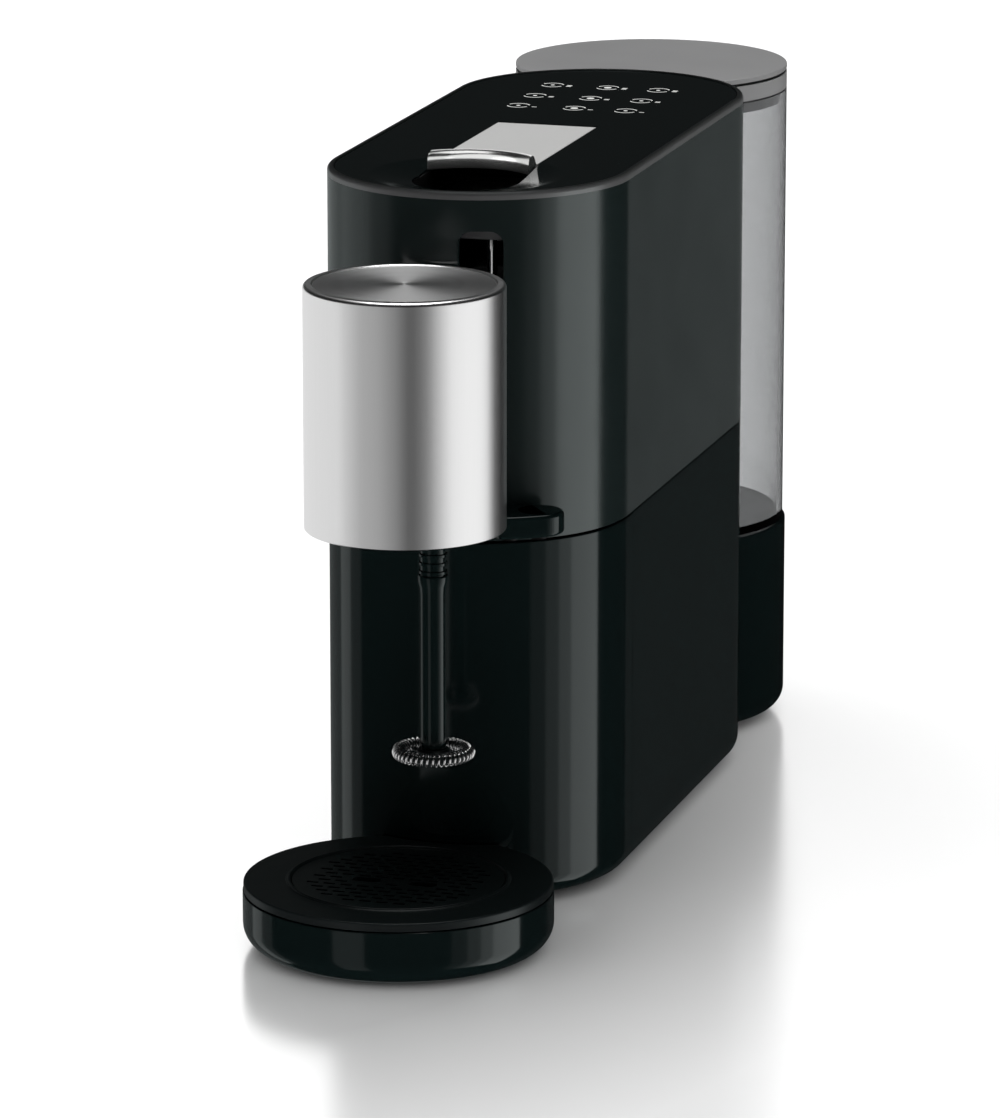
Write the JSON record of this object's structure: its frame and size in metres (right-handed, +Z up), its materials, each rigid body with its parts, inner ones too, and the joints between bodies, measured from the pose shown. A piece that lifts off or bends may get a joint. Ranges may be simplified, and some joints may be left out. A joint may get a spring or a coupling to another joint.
{
  "type": "pod coffee machine",
  "caption": "Free-standing pod coffee machine with a stadium-shaped body, sliding milk frother head with whisk, round drip tray and a lift-off rear water tank.",
  "frame": {"origin": "middle of the machine's footprint, on the table top", "axes": "+Z up, front (frother head and drip tray) faces -Y, +X to the right of someone facing the front"},
  "size_m": [0.116, 0.465, 0.2795],
  "materials": {
    "satin_shell": "satin anthracite moulded plastic",
    "gloss_black": "high gloss black plastic",
    "inner_black": "matt black moulded plastic",
    "inner_grey": "grey moulded plastic",
    "rubber": "matt rubber",
    "rim_satin": "satin dark rim",
    "silver_trim": "satin chrome",
    "brushed_alu": "brushed",
    "steel": "ground bright",
    "tank_clear": "smoky clear plastic",
    "tank_lid_grey": "satin translucent grey",
    "board": "green circuit board",
    "hose_clear": "milky silicone",
    "motor_steel": "zinc plated can",
    "alu_cast": "cast",
    "orange_part": "orange moulded plastic",
    "satin_black": "satin black plastic"
  },
  "bodies": {
    "housing": {"upper_shell": "satin_shell", "lower_shell": "gloss_black", "base_plate": "inner_black", "rubber_feet": "rubber", "top_rim": "rim_satin", "top_panel": "gloss_black", "lever_pin": "steel", "port_funnel": "inner_black", "chassis": "inner_grey", "brew_frame": "inner_grey", "brew_piston": "inner_black", "coffee_outlet": "gloss_black", "outlet_nozzles": "inner_black", "guide_rods": "steel", "rod_brackets": "inner_grey", "tank_dock": "gloss_black", "dock_floor": "inner_black", "dock_socket": "inner_black", "power_inlet": "inner_black", "pump": "motor_steel", "pump_mounts": "rubber", "flow_meter": "inner_grey", "thermoblock": "alu_cast", "control_board": "board", "touch_board": "board", "suction_hose": "hose_clear", "pressure_hose": "hose_clear", "brew_hose": "hose_clear", "case_screws": "steel"},
    "lever": {"capsule_lever": "silver_trim"},
    "cage": {"brew_cage": "inner_grey"},
    "drawer": {"drawer_front": "gloss_black", "capsule_bin": "inner_black"},
    "tray": {"drip_bowl": "gloss_black", "drip_cover": "satin_black", "tray_feet": "rubber"},
    "grid": {"drip_grid": "satin_black"},
    "head": {"head_shell": "brushed_alu", "head_top_disc": "brushed_alu", "head_under_cover": "inner_black", "head_arm": "inner_black", "whisk_motor": "motor_steel", "motor_bracket": "inner_black"},
    "coupling": {"drive_coupling": "inner_black"},
    "whisk": {"whisk_shaft": "gloss_black", "whisk_ring": "steel"},
    "tank": {"water_tank": "tank_clear", "valve_seat": "inner_black", "valve_spring": "steel"},
    "lid": {"tank_lid": "tank_lid_grey", "lid_collar": "tank_lid_grey", "lid_seal": "rubber"},
    "valve": {"valve_plunger": "orange_part"}
  },
  "joints": [
    {"name": "lever_hinge", "type": "hinge", "parent": "housing", "child": "lever", "pos_m": [0, 0.01825, 0.2704], "axis": [-1, 0, 0], "range_deg": [0, 80]},
    {"name": "cage_slide", "type": "slide", "parent": "housing", "child": "cage", "axis": [0, -1, 0], "range_m": [0, 0.0125]},
    {"name": "drawer_slide", "type": "slide", "parent": "housing", "child": "drawer", "axis": [0, -1, 0], "range_m": [0, 0.02]},
    {"name": "tray_slide", "type": "slide", "parent": "drawer", "child": "tray", "axis": [0, -1, 0], "range_m": [0, 0.07]},
    {"name": "grid_lift", "type": "slide", "parent": "tray", "child": "grid", "axis": [0, 0, 1], "range_m": [0, 0.025]},
    {"name": "head_slide", "type": "slide", "parent": "housing", "child": "head", "axis": [0, 0, 1], "range_m": [0, 0.05]},
    {"name": "whisk_spin", "type": "hinge", "parent": "head", "child": "coupling", "pos_m": [0.0107, -0.1648, 0.17], "axis": [0, 0, 1], "continuous": true},
    {"name": "whisk_pull", "type": "slide", "parent": "coupling", "child": "whisk", "axis": [0, 0, -1], "range_m": [0, 0.008]},
    {"name": "tank_lift", "type": "slide", "parent": "housing", "child": "tank", "axis": [0, 0, 1], "range_m": [0, 0.12]},
    {"name": "lid_lift", "type": "slide", "parent": "tank", "child": "lid", "axis": [0, 0, 1], "range_m": [0, 0.04]},
    {"name": "valve_slide", "type": "slide", "parent": "tank", "child": "valve", "axis": [0, 0, 1], "range_m": [0, 0.0025], "stiffness_N_per_m": 60, "springref_m": -0.003, "deforming": ["valve_spring"]}
  ],
  "couplings": [
    {"joint": "cage_slide", "follows": "lever_hinge", "m_per_rad": 0.008594}
  ]
}
